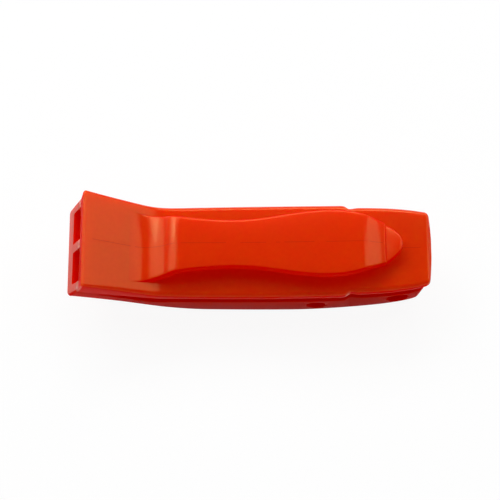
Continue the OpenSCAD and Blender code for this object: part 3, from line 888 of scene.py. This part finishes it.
lid_line = ridge("lid_parting_line", [(s[0], 0, s[1]) for s in lid_rows
                                      if LID_LINE_X[0] < s[0] < LID_LINE_X[1]])
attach(lid_line, "whistle")
clip_line = ridge("clip_parting_line", [(ROOT_X + run, 0, clip_z(run)) for run in
                                        steps(CLIP_LINE_FROM, CREASE_RUN - CREASE_R, CLIP_LINE_STEPS)])
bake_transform(clip_line)


# Studio
# A white table, curved up at its edge, under a soft key lamp from behind the far side, with a softbox
# at each end. The camera sees the table white, and it keeps the whistle's shadow. In metres.
TABLE_SHARE = 0.9
TABLE_GLOW = 1.03
TABLE_WHITE = (0.95, 0.95, 0.95, 1)
TABLE_RADII = (0.3, 0.8, 1.2)
TABLE_CURVE_R = 0.3
TABLE_TOP = 0.4
TABLE_TURNS = 64
CURVE_TURNS = range(10, 91, 10)
WORLD_LIGHT = 0.09
LAMP_AIM = Vector((0, 0, 0.01))


def table_material():
    made = bpy.data.materials.new("table")
    made.use_nodes = True
    nodes, links = made.node_tree.nodes, made.node_tree.links
    nodes.clear()
    rays = nodes.new("ShaderNodeLightPath")

    def maths(operation, a, b=None):
        node = nodes.new("ShaderNodeMath")
        node.operation = operation
        links.new(a, node.inputs[0])
        if b:
            links.new(b, node.inputs[1])
        else:
            node.inputs[1].default_value = TABLE_SHARE
        return node.outputs[0]

    seen = maths("MAXIMUM", rays.outputs["Is Camera Ray"], rays.outputs["Is Glossy Ray"])
    seen = maths("MAXIMUM", seen, rays.outputs["Is Transmission Ray"])
    matt, glow = nodes.new("ShaderNodeBsdfDiffuse"), nodes.new("ShaderNodeEmission")
    matt.inputs["Color"].default_value = TABLE_WHITE
    glow.inputs["Strength"].default_value = TABLE_GLOW
    both, out = nodes.new("ShaderNodeMixShader"), nodes.new("ShaderNodeOutputMaterial")
    links.new(maths("MULTIPLY", seen), both.inputs[0])
    links.new(matt.outputs[0], both.inputs[1])
    links.new(glow.outputs[0], both.inputs[2])
    links.new(both.outputs[0], out.inputs["Surface"])
    return made


bm = bmesh.new()
profile = [(r, 0.0) for r in TABLE_RADII]
profile += [(TABLE_RADII[-1] + TABLE_CURVE_R * math.sin(t), TABLE_CURVE_R - TABLE_CURVE_R * math.cos(t))
            for t in [math.radians(a) for a in CURVE_TURNS]]
profile.append((TABLE_RADII[-1] + TABLE_CURVE_R, TABLE_TOP))
turns = [2 * math.pi * i / TABLE_TURNS for i in range(TABLE_TURNS)]
table_rings = [[bm.verts.new((r * math.cos(a), r * math.sin(a), z)) for a in turns] for r, z in profile]
middle = bm.verts.new((0, 0, 0))
for i in range(TABLE_TURNS):
    j = (i + 1) % TABLE_TURNS
    bm.faces.new((middle, table_rings[0][i], table_rings[0][j]))
    for a, b in zip(table_rings, table_rings[1:]):
        bm.faces.new((a[i], b[i], b[j], a[j]))
table_mesh = bpy.data.meshes.new("table")
bm.to_mesh(table_mesh)
bm.free()
table_mesh.shade_smooth()
table_mesh.materials.append(table_material())
table = bpy.data.objects.new("table", table_mesh)
bpy.context.scene.collection.objects.link(table)

for name, place, width, height, watts in (
        ("key", (-0.15, 0.62, 0.60), 0.95, 0.34, 5.05),
        ("mouth softbox", (-0.47, 0.22, 0.5), 0.34, 0.5, 1.05),
        ("tail softbox", (0.43, 0.24, 0.53), 0.30, 0.5, 0.9)):
    lamp = bpy.data.lights.new(name, "AREA")
    lamp.shape = "RECTANGLE"
    lamp.size, lamp.size_y, lamp.energy = width, height, watts
    holder = bpy.data.objects.new(name, lamp)
    holder.location = place
    holder.rotation_euler = (LAMP_AIM - Vector(place)).to_track_quat("-Z", "Y").to_euler()
    bpy.context.scene.collection.objects.link(holder)

world = bpy.data.worlds.new("studio")
world.use_nodes = True
background = world.node_tree.nodes["Background"]
background.inputs["Color"].default_value = (1, 1, 1, 1)
background.inputs["Strength"].default_value = WORLD_LIGHT
bpy.context.scene.world = world
bpy.context.scene.view_settings.view_transform = "Standard"
